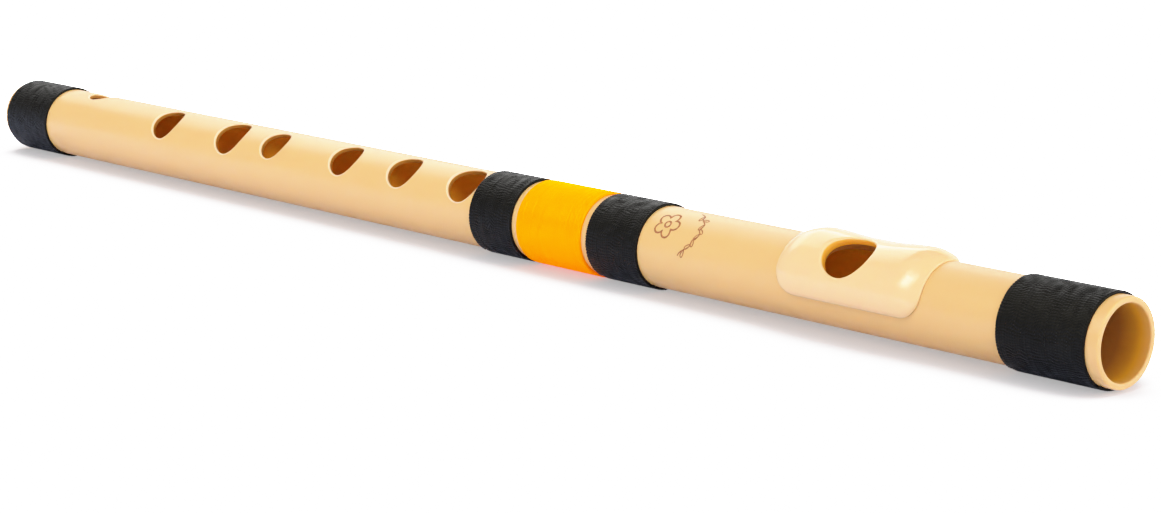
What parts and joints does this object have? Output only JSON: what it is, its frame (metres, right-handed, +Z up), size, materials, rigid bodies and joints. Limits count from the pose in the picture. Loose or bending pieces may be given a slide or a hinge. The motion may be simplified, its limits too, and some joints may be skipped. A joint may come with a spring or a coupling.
{
  "type": "side-blown bamboo-pattern flute",
  "caption": "Keyless side-blown flute: one cream plastic tube with a row of finger holes, a glued-on lip plate, a sliding cork stopper and wound thread bindings.",
  "frame": {"origin": "centre of the foot-end mouth, on the bore's axis", "axes": "+X along the bore from the foot end to the head end, +Z up as the flute lies on its bindings, and the finger-hole row and embouchure lean 38 degrees from +Z towards -Y"},
  "size_m": [0.371, 0.0196, 0.0199],
  "materials": {
    "tube_plastic": "cream-tan moulded plastic, satin gloss",
    "plate_plastic": "paler cream moulded plastic, gloss",
    "cork": "natural cork with dark pits",
    "black_thread": "black plied thread, close-wound, faint sheen",
    "yellow_thread": "warm yellow silky thread, close-wound"
  },
  "bodies": {
    "flute": {"body_tube": "tube_plastic", "lip_plate": "plate_plastic", "foot_binding": "black_thread", "centre_foot_binding": "black_thread", "centre_yellow_binding": "yellow_thread", "centre_head_binding": "black_thread", "head_binding": "black_thread"},
    "stopper": {"stopper": "cork"}
  },
  "joints": [
    {"name": "stopper_slide", "type": "slide", "parent": "flute", "child": "stopper", "axis": [1, 0, 0], "range_m": [-0.008, 0.0415]}
  ]
}
